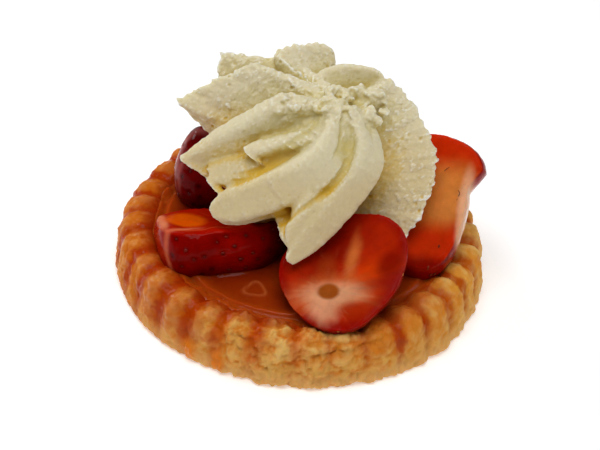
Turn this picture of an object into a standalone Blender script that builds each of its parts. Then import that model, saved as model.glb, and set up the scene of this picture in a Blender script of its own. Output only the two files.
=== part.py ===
"""A strawberry tartlet: a fluted pastry case, clear jelly, cut strawberries and a piped cream rosette.

Units are metres, +Z is up and the tart stands on z = 0. The side that shows best faces -Y.
"""
import math
from typing import NamedTuple

import bmesh
import bpy
from mathutils import Vector

# Clearance kept between pieces that lie on or in each other
GAP = 0.0003

# Pastry case
FLUTES = 32
STEPS_PER_FLUTE = 6
GROOVE_DEPTH = 0.0014
WORN_FLUTES = ((198, 42, 0.6), (268, 26, 0.35))
GROOVE_SHARPNESS = 1.1
CASE_RADIUS = 0.0410
CASE_OVAL = 0.0003
CRUMB = 0.0003
CREST_RADIUS = 0.0362
CREST_WIDTH = 0.0025
CASE_HEIGHT = 0.0128
PRESSED_AZIMUTH = 284
PRESSED_SPREAD = 17
PRESSED_DEPTH = 0.0018
INNER_EDGE_RADIUS = 0.0315
INNER_EDGE_HEIGHT = 0.0114
INNER_WALL_RADIUS = 0.0308
INNER_WALL_HEIGHT = 0.0095
FLOOR_RADIUS = 0.0293
FLOOR_HEIGHT = 0.0043

# Jelly
JELLY_RADIUS = 0.03035
JELLY_TOP = 0.0109
JELLY_SEGMENTS = 72

# Strawberries
SHOULDER = 0.36
PINCH_START = 0.22
PINCH_LENGTH = 0.14
BERRY_RINGS = 13
BERRY_SEGMENTS = 22

# Cream rosette
TEAR_CENTRE = Vector((0.0068, -0.0015, 0.0446))
TEAR_RADIUS = 0.0045
BASE_CENTRE = Vector((0.0, 0.0, 0.0114))
BASE_RADIUS = 0.0120
CORE_SEGMENTS = 20
TIP_SHARE = 0.5
FOOT_SHARE = 0.75
POINT_TAPER = 0.75
FOOT_SHRINK = 0.4
UPRIGHT_AT_BASE = 4.0
LUMPS = 16
LUMP_SPREAD = 0.0075
LUMP_RADIUS = 0.0019
BLADE_LEVELS = 17
BLADE_STEPS = 7
CREAM_VOXEL = 0.0010
CREAM_SOFTENING = 0.5
CREAM_KEPT_FACES = 0.16


class Berry(NamedTuple):
    """A strawberry cut along its length.

    The tip points along `axis` and the cut face looks along `facing`, `cut` above the middle. `width` is
    across the cut and `depth` is how far the skin side lies below the middle. A high `blunt` makes square
    ends, and `pinch` draws in one side below the shoulder.
    """
    name: str
    centre: tuple
    axis: tuple
    facing: tuple
    length: float
    width: float
    depth: float
    cut: float
    blunt: float
    pinch: float


BERRIES = [
    Berry("strawberry_front", (0.0100, -0.0237, 0.0196), (0.72, 0.50, 0.46), (-0.19, -0.51, 0.85),
          0.0283, 0.0240, 0.0085, 0.0008, 2.2, 0.0),
    Berry("strawberry_left", (-0.0169, -0.0096, 0.0146), (0.96, 0.27, 0.0), (-0.12, 0.36, 0.92),
          0.0290, 0.0210, 0.0094, 0.0036, 4.5, 0.0),
    Berry("strawberry_back_left", (-0.0226, 0.0104, 0.0176), (-0.10, 0.20, 0.97), (0.95, -0.1, 0.1),
          0.0195, 0.0170, 0.0070, 0.0062, 2.4, 0.0),
    Berry("strawberry_right", (0.0270, -0.0028, 0.0214), (-0.05, -0.746, -0.664), (-0.12, -0.66, 0.745),
          0.0322, 0.0232, 0.0095, 0.0040, 3.4, 0.27),
    Berry("strawberry_back", (-0.0070, 0.0190, 0.0185), (0.10, -0.45, 0.89), (0.2, -0.85, -0.5),
          0.0270, 0.0220, 0.0085, 0.0012, 2.5, 0.0),
    Berry("strawberry_back_right", (0.0136, 0.0190, 0.0190), (-0.30, -0.40, 0.87), (-0.5, -0.75, -0.5),
          0.0250, 0.0195, 0.0080, 0.0012, 2.5, 0.0),
]


class Fin(NamedTuple):
    """One ridge of the rosette.

    `crown` is the azimuth in degrees where it leaves the torn middle. The shoulder, tip and foot lie on its
    outer edge, each as a radius, an azimuth and a height. `edge` and `root` are half thicknesses, `lean`
    tips its clockwise side up, and a low `tip_round` or `foot_round` makes that corner pointed, over a
    share of the way down of `point`. A high `square` makes the outer edge flat instead of round.
    """
    crown: float
    shoulder: tuple
    tip: tuple
    foot: tuple
    edge: float
    root: float
    lean: float
    tip_round: float
    foot_round: float
    square: float
    point: float


FINS = [
    Fin(150, (0.0154, 150, 0.0466), (0.0300, 170, 0.0384), (0.0215, 168, 0.0300),
        0.0013, 0.0036, 0, 0.2, 0.8, 2.0, 0.10),
    Fin(140, (0.0098, 140, 0.0470), (0.0172, 152, 0.0470), (0.0180, 162, 0.0400),
        0.0013, 0.0034, 0, 0.8, 0.7, 2.0, 0.10),
    Fin(195, (0.0095, 206, 0.0462), (0.0280, 197, 0.0330), (0.0200, 203, 0.0265),
        0.0026, 0.0042, 10, 0.2, 0.8, 3.0, 0.10),
    Fin(262, (0.0106, 262, 0.0428), (0.0175, 219, 0.0382), (0.0148, 236, 0.0345),
        0.0028, 0.0042, 15, 0.3, 0.8, 2.5, 0.06),
    Fin(230, (0.0157, 232, 0.0350), (0.0242, 206, 0.0312), (0.0218, 222, 0.0272),
        0.0038, 0.0050, 30, 0.2, 0.8, 2.5, 0.05),
    Fin(285, (0.0176, 277, 0.0386), (0.0256, 219, 0.0246), (0.0158, 240, 0.0264),
        0.0047, 0.0050, 45, 0.0, 0.5, 5.0, 0.055),
    Fin(330, (0.0192, 312, 0.0382), (0.0257, 265, 0.0206), (0.0190, 258, 0.0236),
        0.0044, 0.0048, 40, 0.0, 0.6, 5.0, 0.08),
    Fin(310, (0.0192, 279, 0.0334), (0.0238, 265, 0.0232), (0.0180, 261, 0.0214),
        0.0036, 0.0046, 40, 0.2, 0.6, 4.0, 0.05),
    Fin(20, (0.0188, 23, 0.0460), (0.0276, 353, 0.0342), (0.0258, 327, 0.0202),
        0.0014, 0.0045, 0, 1.0, 0.2, 2.0, 0.08),
    Fin(115, (0.0088, 86, 0.0462), (0.0124, 50, 0.0486), (0.0172, 28, 0.0436),
        0.0009, 0.0024, 70, 1.0, 1.0, 2.0, 0.08),
    Fin(130, (0.0150, 126, 0.0468), (0.0162, 104, 0.0484), (0.0168, 76, 0.0450),
        0.0016, 0.0040, 70, 0.9, 0.9, 2.0, 0.08),
    Fin(125, (0.0143, 114, 0.0456), (0.0252, 146, 0.0456), (0.0234, 150, 0.0396),
        0.0014, 0.0038, 0, 0.1, 0.6, 2.0, 0.08),
]


def principled(name, colour, roughness):
    """A plain Principled material."""
    material = bpy.data.materials.new(name)
    material.use_nodes = True
    shader = material.node_tree.nodes["Principled BSDF"]
    shader.inputs["Base Color"].default_value = (*colour, 1.0)
    shader.inputs["Roughness"].default_value = roughness
    shader.inputs["Metallic"].default_value = 0.0
    return material


def add_object(name, builder, material):
    """Turns a bmesh into a smooth-shaded object of the scene."""
    mesh = bpy.data.meshes.new(name)
    bmesh.ops.recalc_face_normals(builder, faces=builder.faces)
    builder.to_mesh(mesh)
    builder.free()
    mesh.shade_smooth()
    mesh.set_sharp_from_angle(angle=math.radians(40))
    mesh.materials.append(material)
    thing = bpy.data.objects.new(name, mesh)
    bpy.context.collection.objects.link(thing)
    return thing


def skin_rings(builder, rings):
    """Joins closed rings of points into one body, with a flat face on the first and the last ring."""
    levels = [[builder.verts.new(point) for point in ring] for ring in rings]
    for lower, upper in zip(levels, levels[1:]):
        for here in range(len(lower)):
            after = (here + 1) % len(lower)
            builder.faces.new((lower[here], lower[after], upper[after], upper[here]))
    builder.faces.new(levels[0])
    builder.faces.new(levels[-1])


def polar(radius, azimuth, height):
    """A point from its radius, azimuth in radians and height."""
    return Vector((radius * math.cos(azimuth), radius * math.sin(azimuth), height))


def place(marked):
    """A point from a radius, an azimuth in degrees and a height."""
    return polar(marked[0], math.radians(marked[1]), marked[2])


def circle(radius, height, segments):
    """A closed ring of points round Z."""
    return [polar(radius, 2 * math.pi * step / segments, height) for step in range(segments)]


def waver(azimuth, seed):
    """A slow uneven wave from -1 to 1 round the tart, the same each time for one seed."""
    waves = ((3, 1.0), (7, 0.7), (11, 0.9), (17, 0.6), (29, 0.5))
    total = sum(size * math.sin(count * azimuth + seed * (2.1 + count)) for count, size in waves)
    return total / sum(size for _, size in waves)


def groove(azimuth):
    """0 on the round back of a flute and 1 in the sharp groove beside it."""
    bent = azimuth + 0.035 * waver(azimuth, 1.7)
    return 1.0 - abs(math.sin(bent * FLUTES / 2)) ** GROOVE_SHARPNESS


def pressed(azimuth, height):
    """How far the rim is pressed down under the front strawberry."""
    away = math.degrees(math.remainder(azimuth - math.radians(PRESSED_AZIMUTH), 2 * math.pi))
    share = min(1.0, max(0.0, (height - 0.5 * CASE_HEIGHT) / (0.5 * CASE_HEIGHT)))
    return PRESSED_DEPTH * math.exp(-(away / PRESSED_SPREAD) ** 2) * share


def flute_depth(azimuth):
    """Share of the full depth of the grooves: less where the case was worn and filled with glaze."""
    degrees = math.degrees(azimuth)
    return 1.0 - sum(loss * math.exp(-((degrees - middle) / spread) ** 2) for middle, spread, loss in WORN_FLUTES)


def case_profile():
    """The case's section: radius, height, share of the grooves that cut there, and which way they cut."""
    return [
        (CASE_RADIUS - 0.0002, 0.0, 0.25, (-1, 0)),
        (CASE_RADIUS, 0.11 * CASE_HEIGHT, 0.35, (-1, 0)),
        (CASE_RADIUS - 0.0003, 0.41 * CASE_HEIGHT, 0.8, (-1, 0)),
        (CASE_RADIUS - 0.0008, 0.72 * CASE_HEIGHT, 1.0, (-1, 0)),
        (CASE_RADIUS - 0.0020, 0.91 * CASE_HEIGHT, 1.0, (-0.8, -0.6)),
        (CREST_RADIUS, CASE_HEIGHT, 1.0, (0, -1)),
        (CREST_RADIUS - CREST_WIDTH, CASE_HEIGHT - GAP, 1.0, (0, -1)),
        (INNER_EDGE_RADIUS, INNER_EDGE_HEIGHT, 0.8, (0.5, -0.8)),
        (INNER_WALL_RADIUS, INNER_WALL_HEIGHT, 0.0, (0, 0)),
        (FLOOR_RADIUS, FLOOR_HEIGHT, 0.0, (0, 0)),
    ]


def case_ring(radius, height, groove_share, inward):
    """One ring of the case, dented by the grooves and a little uneven."""
    ring = []
    segments = FLUTES * STEPS_PER_FLUTE
    for step in range(segments):
        azimuth = 2 * math.pi * step / segments
        dent = GROOVE_DEPTH * groove_share * groove(azimuth) * flute_depth(azimuth)
        rough = CRUMB * groove_share * waver(azimuth, 100 * radius + 60 * height)
        oval = -CASE_OVAL * math.cos(2 * azimuth) * groove_share
        ring.append(polar(radius + oval + inward[0] * dent + rough, azimuth,
                          height + inward[1] * dent + abs(inward[1]) * rough - pressed(azimuth, height)))
    return ring


def pastry_case(material):
    """The short pastry case: a floor and a thick rim pressed into round flutes."""
    builder = bmesh.new()
    skin_rings(builder, [case_ring(*section) for section in case_profile()])
    return add_object("pastry_case", builder, material)


def turned(name, section, material):
    """A body turned round Z from an outer section of (radius, height) pairs, flat at both ends."""
    builder = bmesh.new()
    skin_rings(builder, [circle(radius, height, JELLY_SEGMENTS) for radius, height in section])
    return add_object(name, builder, material)


def jelly_glaze(material):
    """The set jelly that fills the case up to just under its rim."""
    section = [
        (FLOOR_RADIUS - GAP, FLOOR_HEIGHT + GAP),
        (JELLY_RADIUS, INNER_WALL_HEIGHT),
        (JELLY_RADIUS, JELLY_TOP),
    ]
    return turned("jelly_glaze", section, material)


def rim_room(material):
    """The space that the rim takes up, with clearance, to cut out of what leans over it."""
    outside = CASE_RADIUS + 5 * GAP
    section = [
        (outside, -GAP),
        (outside, CASE_HEIGHT + 2 * GAP),
        (CREST_RADIUS - CREST_WIDTH - GAP, CASE_HEIGHT + 2 * GAP),
        (INNER_WALL_RADIUS, INNER_EDGE_HEIGHT + GAP),
        (FLOOR_RADIUS - GAP, FLOOR_HEIGHT + GAP),
        (FLOOR_RADIUS - GAP, -GAP),
    ]
    builder = bmesh.new()
    rings = [circle(radius, height, JELLY_SEGMENTS) for radius, height in section]
    for ring in rings:
        for point in ring:
            point.z -= pressed(math.atan2(point.y, point.x), point.z)
    skin_rings(builder, rings)
    return add_object("rim_room", builder, material)


def berry_radius(along, blunt):
    """A strawberry's radius, as a share of its largest, from 0 at the stalk to 1 at the tip."""
    if along < SHOULDER:
        return (1.0 - ((SHOULDER - along) / SHOULDER) ** blunt) ** 0.5
    return (1.0 - ((along - SHOULDER) / (1.0 - SHOULDER)) ** max(2.0, 0.75 * blunt)) ** 0.55


def berry_body(berry, extra=0.0):
    """A turned strawberry with one side cut flat. `extra` grows it on every side."""
    builder = bmesh.new()
    long = Vector(berry.axis).normalized()
    facing = Vector(berry.facing)
    facing = (facing - long * facing.dot(long)).normalized()
    across = facing.cross(long)
    rings = []
    for step in range(BERRY_RINGS):
        along = 0.5 - 0.5 * math.cos(math.pi * (step + 0.35) / (BERRY_RINGS - 0.3))
        size = berry_radius(along, berry.blunt)
        drawn_in = 1.0 - berry.pinch * min(1.0, max(0.0, (along - PINCH_START) / PINCH_LENGTH))
        ring = []
        for turn in range(BERRY_SEGMENTS):
            angle = 2 * math.pi * turn / BERRY_SEGMENTS
            side = math.cos(angle) * (size * berry.width / 2 + extra)
            ring.append(long * (along - 0.5) * (berry.length + 2 * extra)
                        + across * (side * drawn_in if side > 0 else side)
                        + facing * math.sin(angle) * (size * berry.depth + extra))
        rings.append(ring)
    skin_rings(builder, rings)
    everything = builder.verts[:] + builder.edges[:] + builder.faces[:]
    bmesh.ops.bisect_plane(builder, geom=everything, dist=1e-7, plane_co=facing * (berry.cut + extra),
                           plane_no=facing, clear_outer=True)
    bmesh.ops.holes_fill(builder, edges=[edge for edge in builder.edges if edge.is_boundary], sides=0)
    bmesh.ops.translate(builder, vec=berry.centre, verts=builder.verts)
    return builder


def spline(points, roundness, count):
    """A smooth curve through points, whose corners are as sharp as their roundness is small."""
    tangents = [(points[1] - points[0]) * roundness[0]]
    for index in range(1, len(points) - 1):
        tangents.append((points[index + 1] - points[index - 1]) * 0.5 * roundness[index])
    tangents.append((points[-1] - points[-2]) * roundness[-1])
    curve = []
    for step in range(count):
        reach = (len(points) - 1) * step / (count - 1)
        index = min(int(reach), len(points) - 2)
        u = reach - index
        curve.append(points[index] * (2 * u**3 - 3 * u**2 + 1) + tangents[index] * (u**3 - 2 * u**2 + u)
                     + points[index + 1] * (3 * u**2 - 2 * u**3) + tangents[index + 1] * (u**3 - u**2))
    return curve


def taper(fin, down):
    """How much of its thickness a fin keeps: less at a pointed corner and towards its base."""
    tip = (1 - fin.tip_round) * math.exp(-((down - TIP_SHARE) / fin.point) ** 2)
    foot = (1 - fin.foot_round) * math.exp(-((down - FOOT_SHARE) / fin.point) ** 2)
    waist = 1 - FOOT_SHRINK * min(1.0, max(0.0, (down - 0.55) / 0.25))
    return (1 - POINT_TAPER * max(tip, foot)) * waist


def blade(builder, fin):
    """One fin of cream: a blade from the rosette's core to a curved edge, thick inside and thin outside."""
    crown = TEAR_CENTRE + polar(TEAR_RADIUS, math.radians(fin.crown), 0.001)
    base = polar(BASE_RADIUS * 0.6, math.radians(fin.foot[1]), BASE_CENTRE.z)
    edges = spline([crown, place(fin.shoulder), place(fin.tip), place(fin.foot), base],
                   (0.6, 1.0, fin.tip_round, fin.foot_round, 0.6), BLADE_LEVELS)
    rings = []
    for level, edge in enumerate(edges):
        down = level / (BLADE_LEVELS - 1)
        lean = math.radians(fin.lean) * min(1.0, UPRIGHT_AT_BASE * (1.0 - down))
        root = TEAR_CENTRE.lerp(BASE_CENTRE, down)
        reach = edge - root
        flat = Vector((-reach.y, reach.x, 0)).normalized()
        rise = reach.cross(flat).normalized()
        side = flat * math.cos(lean) - rise * math.sin(lean)
        thin = fin.edge * taper(fin, down)
        thick = max(thin, fin.root * (0.5 + 0.5 * taper(fin, down)))
        ring = []
        for turn in range(2 * BLADE_STEPS):
            out = turn if turn < BLADE_STEPS else 2 * BLADE_STEPS - 1 - turn
            share = math.sin(math.pi / 2 * (out + 0.5) / BLADE_STEPS)
            rounding = max(0.0, (share - 1) * reach.length / thin + 1)
            rounded = (1 - min(0.98, rounding) ** fin.square) ** (1 / fin.square)
            half = (thin + (thick - thin) * (1 - share)) * rounded
            ring.append(root + reach * share + side * (half if turn < BLADE_STEPS else -half))
        rings.append(ring)
    skin_rings(builder, rings)


def cream_core(builder):
    """The rosette's middle, from its base on the jelly up to the torn top."""
    section = [(0.0, 0.65), (0.10, 0.72), (0.25, 0.68), (0.45, 0.6), (0.7, 0.55), (0.92, 0.55), (1.0, 0.35)]
    rings = []
    for rise, size in section:
        middle = BASE_CENTRE.lerp(TEAR_CENTRE, rise)
        rings.append([middle + point for point in circle(size * BASE_RADIUS, 0.0, CORE_SEGMENTS)])
    skin_rings(builder, rings)


def torn_lumps(builder):
    """The ragged lumps on top, where the nozzle tore away."""
    golden_angle = math.pi * (3 - math.sqrt(5))
    for lump in range(LUMPS):
        out = LUMP_SPREAD * math.sqrt((lump + 0.5) / LUMPS)
        height = 0.0006 + 0.0008 * math.sin(2.4 * lump)
        radius = LUMP_RADIUS * (1 + 0.3 * math.sin(3.7 * lump))
        added = bmesh.ops.create_icosphere(builder, subdivisions=2, radius=radius)
        middle = TEAR_CENTRE + polar(out, golden_angle * lump, height)
        bmesh.ops.translate(builder, vec=middle, verts=added["verts"])


def whipped_cream(material):
    """The rosette: core, lumps and fins melted into one body."""
    builder = bmesh.new()
    cream_core(builder)
    torn_lumps(builder)
    for fin in FINS:
        blade(builder, fin)
    cream = add_object("whipped_cream", builder, material)
    melt = cream.modifiers.new("melt", "REMESH")
    melt.mode = "VOXEL"
    melt.voxel_size = CREAM_VOXEL
    melt.use_smooth_shade = True
    soften = cream.modifiers.new("soften", "SMOOTH")
    soften.factor = CREAM_SOFTENING
    soften.iterations = 2
    thin = cream.modifiers.new("thin", "DECIMATE")
    thin.ratio = CREAM_KEPT_FACES
    return cream


def cutter_collection(name, cutters):
    """Keeps cutters out of sight in a collection of their own."""
    collection = bpy.data.collections.new(name)
    bpy.context.scene.collection.children.link(collection)
    for cutter in cutters:
        bpy.context.collection.objects.unlink(cutter)
        collection.objects.link(cutter)
        cutter.hide_render = True
        cutter.display_type = "WIRE"
    return collection


def cut_away(thing, cutters):
    """Cuts everything in a collection out of a piece."""
    modifier = thing.modifiers.new("cut", "BOOLEAN")
    modifier.operation = "DIFFERENCE"
    modifier.operand_type = "COLLECTION"
    modifier.collection = cutters
    modifier.solver = "EXACT"


def build():
    """Makes every piece of the tart."""
    for old in list(bpy.data.objects):
        bpy.data.objects.remove(old, do_unlink=True)
    pastry = principled("pastry", (0.72, 0.46, 0.20), 0.65)
    jelly = principled("jelly", (0.62, 0.16, 0.04), 0.12)
    strawberry = principled("strawberry", (0.52, 0.03, 0.02), 0.25)
    cream = principled("cream", (0.88, 0.84, 0.68), 0.55)

    pastry_case(pastry)
    glaze = jelly_glaze(jelly)
    rosette = whipped_cream(cream)
    berries = [add_object(berry.name, berry_body(berry), strawberry) for berry in BERRIES]

    grown = [add_object("room_" + berry.name, berry_body(berry, 1.2 * GAP), strawberry) for berry in BERRIES]
    around_berries = cutter_collection("around_berries", grown)
    around_rim = cutter_collection("around_rim", [rim_room(pastry)])
    cut_away(glaze, around_berries)
    cut_away(rosette, around_berries)
    for berry in berries:
        cut_away(berry, around_rim)


build()
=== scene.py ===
"""The looks of a strawberry tartlet: crumbly pastry, set jelly, glazed berries and torn whipped cream."""
import math
import random
from typing import NamedTuple

import bmesh
import bpy
import numpy as np
from mathutils import Matrix, Vector, noise
from mathutils.bvhtree import BVHTree
from mathutils.kdtree import KDTree


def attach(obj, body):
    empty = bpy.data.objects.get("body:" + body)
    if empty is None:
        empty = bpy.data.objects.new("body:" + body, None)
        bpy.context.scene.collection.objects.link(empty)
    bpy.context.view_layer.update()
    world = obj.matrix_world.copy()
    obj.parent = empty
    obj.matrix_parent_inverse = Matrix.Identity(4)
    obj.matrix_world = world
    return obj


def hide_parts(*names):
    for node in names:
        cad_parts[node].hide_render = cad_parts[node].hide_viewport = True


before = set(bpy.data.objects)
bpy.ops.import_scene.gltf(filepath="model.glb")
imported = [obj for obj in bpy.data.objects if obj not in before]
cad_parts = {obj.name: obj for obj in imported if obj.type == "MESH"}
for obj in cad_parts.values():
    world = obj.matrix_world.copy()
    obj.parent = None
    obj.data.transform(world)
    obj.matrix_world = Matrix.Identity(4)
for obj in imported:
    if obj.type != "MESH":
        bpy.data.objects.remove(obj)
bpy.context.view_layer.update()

# Pastry case: the sizes of the solid and its finer detail
FLUTES = 32
GROOVE_DEPTH = 0.0014
WORN_FLUTES = ((198, 42, 0.6), (268, 26, 0.35))
GROOVE_SHARPNESS = 1.1
CASE_RADIUS = 0.0410
CASE_OVAL = 0.0003
CREST_RADIUS = 0.0362
CREST_WIDTH = 0.0025
CASE_HEIGHT = 0.0128
PRESSED_AZIMUTH = 284
PRESSED_SPREAD = 17
PRESSED_DEPTH = 0.0018
DRIPS = ((1.0, 238, 3.0), (1.0, 248, 2.6))
DRIP_HEIGHT = 0.0031
DRIP_SPREAD = 0.0026
DRIP_SWELL = 0.0006
FOLD_AZIMUTH = 285
FOLD_HEIGHT = 0.0100
FOLD_SLOPE = 0.00008
FOLD_WIDTH = 0.0009
FOLD_DEPTH = 0.0006
SPILLS = ((0.85, 232, 20), (0.55, 185, 38), (0.45, 308, 14), (0.25, 262, 10), (0.35, 100, 45), (0.20, 20, 30))
# Patches round the tart where the dark inner rim reaches further out: glaze spilt over it, and painted shade
# of the strawberries beside it.
SPILT_RIM_AND_SHADE = ((1.0, 196, 34), (1.0, 232, 16), (0.7, 262, 14))
INNER_EDGE_RADIUS = 0.0315
INNER_EDGE_HEIGHT = 0.0114
INNER_WALL_RADIUS = 0.0308
INNER_WALL_HEIGHT = 0.0095
FLOOR_RADIUS = 0.0293
FLOOR_HEIGHT = 0.0043
CRUST_STEPS = 896
CRUST_RING_GAP = 0.00034

# Jelly
JELLY_TOP = 0.0109
JELLY_STEPS = 300
JELLY_REACH = 0.0348
JELLY_FILM = 0.00022
FILM_REACH = 0.0322
BUBBLE = (-0.0088, -0.0226)
BUBBLE_RADIUS = 0.0021
BUBBLE_CORNER = math.radians(85)

# Strawberries: the form of the solids and their finer detail
SHOULDER = 0.36
PINCH_START = 0.22
PINCH_LENGTH = 0.14
BERRY_RINGS = 120
BERRY_STEPS = 190
CUT_ROUNDING = 0.00035
SEED_GAP = 0.0027
SEED_SIDES = 8
SEED_RINGS = 5
SEED_HEIGHT = 0.00026
DIMPLE_RADIUS = 0.00052

# Cream rosette: the form of the solid and its finer detail
TEAR_CENTRE = Vector((0.0068, -0.0015, 0.0446))
TEAR_RADIUS = 0.0045
BASE_CENTRE = Vector((0.0, 0.0, 0.0114))
BASE_RADIUS = 0.0120
TIP_SHARE = 0.5
FOOT_SHARE = 0.75
POINT_TAPER = 0.75
FOOT_SHRINK = 0.4
UPRIGHT_AT_BASE = 4.0
BLADE_LEVELS = 141
BLADE_STEPS = 12
FILL_CENTRE = Vector((-0.0040, -0.0149, 0.0253))
FILL_RADIUS = 0.0023
CREASED_FINS = (4, 5, 6)
CREASE_WIDTH = 0.0009
WHOLE_TIP = 5
CREAM_VOXEL = 0.00032
TOOTH = 0.0017
TORN_REACH = 0.0030
LUMPS = 70


class Berry(NamedTuple):
    name: str
    centre: tuple
    axis: tuple
    facing: tuple
    length: float
    width: float
    depth: float
    cut: float
    blunt: float
    pinch: float


BERRIES = [
    Berry("strawberry_front", (0.0100, -0.0237, 0.0196), (0.72, 0.50, 0.46), (-0.19, -0.51, 0.85),
          0.0283, 0.0240, 0.0085, 0.0008, 2.2, 0.0),
    Berry("strawberry_left", (-0.0169, -0.0096, 0.0146), (0.96, 0.27, 0.0), (-0.12, 0.36, 0.92),
          0.0290, 0.0210, 0.0094, 0.0036, 4.5, 0.0),
    Berry("strawberry_back_left", (-0.0226, 0.0104, 0.0176), (-0.10, 0.20, 0.97), (0.95, -0.1, 0.1),
          0.0195, 0.0170, 0.0070, 0.0062, 2.4, 0.0),
    Berry("strawberry_right", (0.0270, -0.0028, 0.0214), (-0.05, -0.746, -0.664), (-0.12, -0.66, 0.745),
          0.0322, 0.0232, 0.0095, 0.0040, 3.4, 0.27),
    Berry("strawberry_back", (-0.0070, 0.0190, 0.0185), (0.10, -0.45, 0.89), (0.2, -0.85, -0.5),
          0.0270, 0.0220, 0.0085, 0.0012, 2.5, 0.0),
    Berry("strawberry_back_right", (0.0136, 0.0190, 0.0190), (-0.30, -0.40, 0.87), (-0.5, -0.75, -0.5),
          0.0250, 0.0195, 0.0080, 0.0012, 2.5, 0.0),
]


class Fin(NamedTuple):
    """A ridge of the rosette as in the solids, with how ragged its edge is and how ribbed its faces are."""
    crown: float
    shoulder: tuple
    tip: tuple
    foot: tuple
    edge: float
    root: float
    lean: float
    tip_round: float
    foot_round: float
    square: float
    point: float
    ragged: float
    ribbed: float


FINS = [
    Fin(150, (0.0154, 150, 0.0466), (0.0300, 170, 0.0384), (0.0215, 168, 0.0300),
        0.0013, 0.0036, 0, 0.2, 0.8, 2.0, 0.10, 1.5, 1.0),
    Fin(140, (0.0098, 140, 0.0470), (0.0172, 152, 0.0470), (0.0180, 162, 0.0400),
        0.0013, 0.0034, 0, 0.8, 0.7, 2.0, 0.10, 1.0, 0.6),
    Fin(195, (0.0095, 206, 0.0462), (0.0280, 197, 0.0330), (0.0200, 203, 0.0265),
        0.0026, 0.0042, 10, 0.2, 0.8, 3.0, 0.10, 0.7, 0.3),
    Fin(262, (0.0106, 262, 0.0428), (0.0175, 219, 0.0382), (0.0148, 236, 0.0345),
        0.0028, 0.0042, 15, 0.3, 0.8, 2.5, 0.06, 0.6, 0.3),
    Fin(230, (0.0157, 232, 0.0350), (0.0242, 206, 0.0312), (0.0218, 222, 0.0272),
        0.0038, 0.0050, 30, 0.2, 0.8, 2.5, 0.05, 0.4, 0.3),
    Fin(285, (0.0176, 277, 0.0386), (0.0256, 219, 0.0246), (0.0158, 240, 0.0264),
        0.0047, 0.0050, 45, 0.0, 0.5, 5.0, 0.055, 0.3, 0.2),
    Fin(330, (0.0192, 312, 0.0382), (0.0257, 265, 0.0206), (0.0190, 258, 0.0236),
        0.0044, 0.0048, 40, 0.0, 0.6, 5.0, 0.08, 0.2, 0.2),
    Fin(310, (0.0192, 279, 0.0334), (0.0238, 265, 0.0232), (0.0180, 261, 0.0214),
        0.0036, 0.0046, 40, 0.2, 0.6, 4.0, 0.05, 0.2, 0.2),
    Fin(20, (0.0188, 23, 0.0460), (0.0276, 353, 0.0342), (0.0258, 327, 0.0202),
        0.0014, 0.0045, 0, 1.0, 0.2, 2.0, 0.08, 1.1, 1.3),
    Fin(115, (0.0088, 86, 0.0462), (0.0124, 50, 0.0486), (0.0172, 28, 0.0436),
        0.0009, 0.0024, 70, 1.0, 1.0, 2.0, 0.08, 0.2, 0.2),
    Fin(130, (0.0150, 126, 0.0468), (0.0162, 104, 0.0484), (0.0168, 76, 0.0450),
        0.0016, 0.0040, 70, 0.9, 0.9, 2.0, 0.08, 1.0, 1.0),
    Fin(125, (0.0143, 114, 0.0456), (0.0252, 146, 0.0456), (0.0234, 150, 0.0396),
        0.0014, 0.0038, 0, 0.1, 0.6, 2.0, 0.08, 1.4, 1.0),
]

# Short dark fibres on the right strawberry's cut face, as points across and along it, and on the pastry
FACE_FIBRES = [
    [(0.0024, -0.0076), (0.0028, -0.0081), (0.0034, -0.0086)],
    [(0.0058, -0.0038), (0.0062, -0.0033), (0.0062, -0.0028), (0.0060, -0.0024)],
    [(0.0059, -0.0019), (0.0058, -0.0015)],
    [(-0.0027, 0.0048), (-0.0024, 0.0053)],
]
PASTRY_FIBRES = [
    [(0.0198, -0.0234, 0.0096), (0.0200, -0.0242, 0.0098), (0.0197, -0.0250, 0.0101)],
    [(0.0323, -0.0146, 0.0124), (0.0325, -0.0153, 0.0124)],
]
FIBRE_RADIUS = 0.00008
FIBRE_SIDES = 6
FIBRE_COLOUR = (96, 40, 16)
RIGHT_BERRY = [berry.name for berry in BERRIES].index("strawberry_right")

# The ragged line where the nozzle tore away: points on top of the rosette
TORN_LINE = [
    (-0.0076, -0.0034, 0.0463), (-0.0028, -0.0044, 0.0464), (0.0024, -0.0034, 0.0470),
    (0.0060, 0.0010, 0.0469), (0.0105, 0.0022, 0.0464), (0.0138, 0.0008, 0.0447),
    (0.0120, -0.0045, 0.0450), (0.0081, -0.0062, 0.0464), (0.0036, -0.0064, 0.0460),
    (0.0066, -0.0024, 0.0468),
]


def rgb(red, green, blue):
    """A linear colour from screen values of 0 to 255."""
    return np.array([(value / 255 / 12.92) if value < 11 else ((value / 255 + 0.055) / 1.055) ** 2.4
                     for value in (red, green, blue)])


def polar(radius, azimuth, height):
    return Vector((radius * math.cos(azimuth), radius * math.sin(azimuth), height))


def place(marked):
    return polar(marked[0], math.radians(marked[1]), marked[2])


def smoothstep(low, high, value):
    share = np.clip((value - low) / (high - low), 0.0, 1.0)
    return share * share * (3 - 2 * share)


def mix(first, second, share):
    """Blends two colours, or two arrays of them, by an array of shares."""
    share = np.asarray(share)[..., None]
    return first * (1 - share) + second * share


def layered(colours, layers):
    """Lays colours over one another, each by an array of shares."""
    for colour, share in layers:
        colours = mix(colours, rgb(*colour), share)
    return colours


def grain(points, size, octaves=1, seed=0.0):
    """Noise from about -1 to 1 at each point, with features of the given size."""
    shift = Vector((seed * 13.1, seed * 7.7, seed * 3.3))
    if octaves == 1:
        return np.array([noise.noise(Vector(point) / size + shift) for point in points])
    return np.array([noise.fractal(Vector(point) / size + shift, 0.8, 2.0, octaves) for point in points])


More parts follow.
